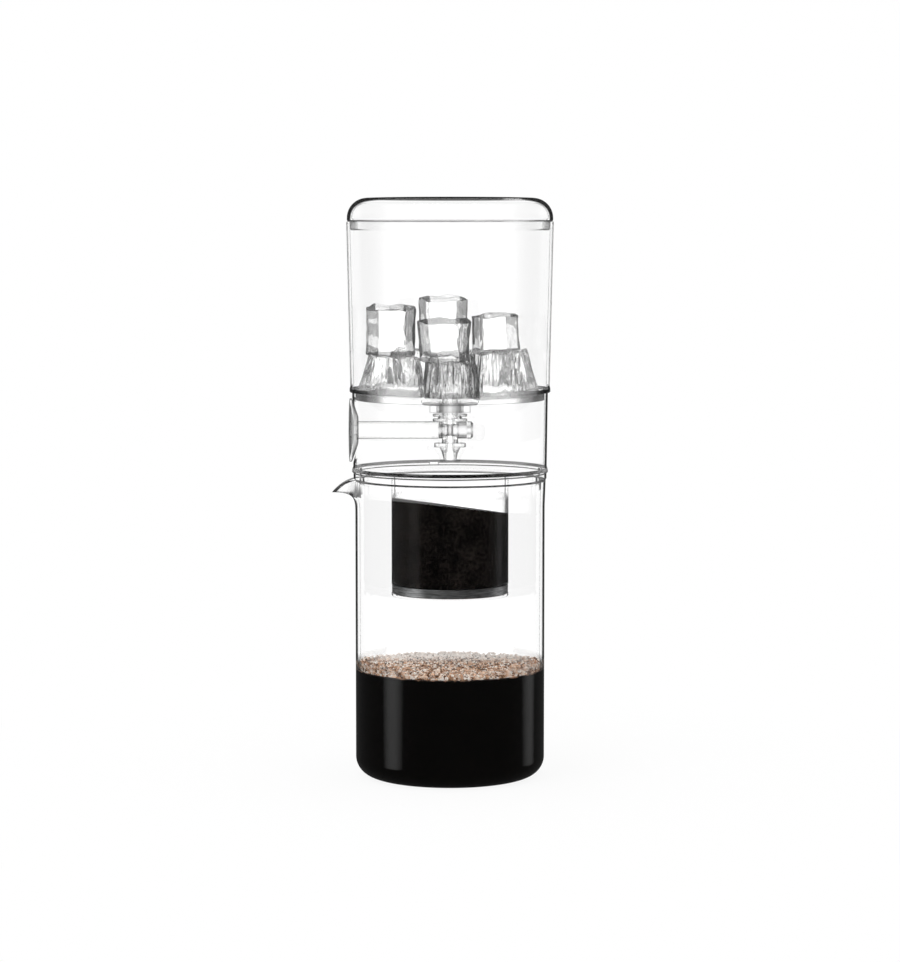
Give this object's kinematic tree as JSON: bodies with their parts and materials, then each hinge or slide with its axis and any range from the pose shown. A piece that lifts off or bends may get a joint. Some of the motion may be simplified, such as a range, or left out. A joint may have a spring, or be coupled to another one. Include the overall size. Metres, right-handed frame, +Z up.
{
  "type": "cold drip coffee maker",
  "caption": "Stacked cold-drip coffee maker: glass carafe with a pouring lip, hanging filter, drip chamber with a stopcock, tapered water tank and domed lid.",
  "frame": {"origin": "centre of the carafe's flat base", "axes": "+Z up along the axis of the stack; -X towards the pouring lip and the control knob"},
  "size_m": [0.1151, 0.107, 0.3004],
  "materials": {
    "clear_glass": "polished",
    "clear_plastic": "gloss",
    "frosted_plastic": "matte",
    "soft_seal": "satin",
    "steel": "satin",
    "coffee": "gloss",
    "foam": "matte",
    "grounds": "matte",
    "ice": "gloss"
  },
  "bodies": {
    "carafe": {"carafe": "clear_glass", "coffee": "coffee", "coffee_foam": "foam"},
    "filter": {"filter_basket": "clear_plastic", "mesh_ring": "steel", "filter_mesh": "steel", "retaining_ring": "clear_plastic", "coffee_grounds": "grounds"},
    "tank_unit": {"drip_chamber": "clear_plastic", "water_tank": "clear_plastic", "inlet_fitting": "clear_plastic", "inlet_seal": "soft_seal", "floor_washer": "soft_seal", "wing_nut": "frosted_plastic", "valve_body": "clear_plastic", "drip_nozzle": "clear_plastic", "ice_cubes": "ice"},
    "valve_key": {"valve_plug": "frosted_plastic", "plug_seals": "soft_seal", "drive_rod": "clear_plastic", "control_knob": "clear_plastic", "end_cap": "clear_plastic"},
    "lid": {"lid": "clear_plastic"}
  },
  "joints": [
    {"name": "filter_lift", "type": "slide", "parent": "carafe", "child": "filter", "axis": [0, 0, 1], "range_m": [0, 0.065]},
    {"name": "tank_lift", "type": "slide", "parent": "filter", "child": "tank_unit", "axis": [0, 0, 1], "range_m": [0, 0.04]},
    {"name": "lid_lift", "type": "slide", "parent": "tank_unit", "child": "lid", "axis": [0, 0, 1], "range_m": [0, 0.04]},
    {"name": "valve_turn", "type": "hinge", "parent": "tank_unit", "child": "valve_key", "pos_m": [0, 0, 0.1805], "axis": [-1, 0, 0], "continuous": true}
  ]
}
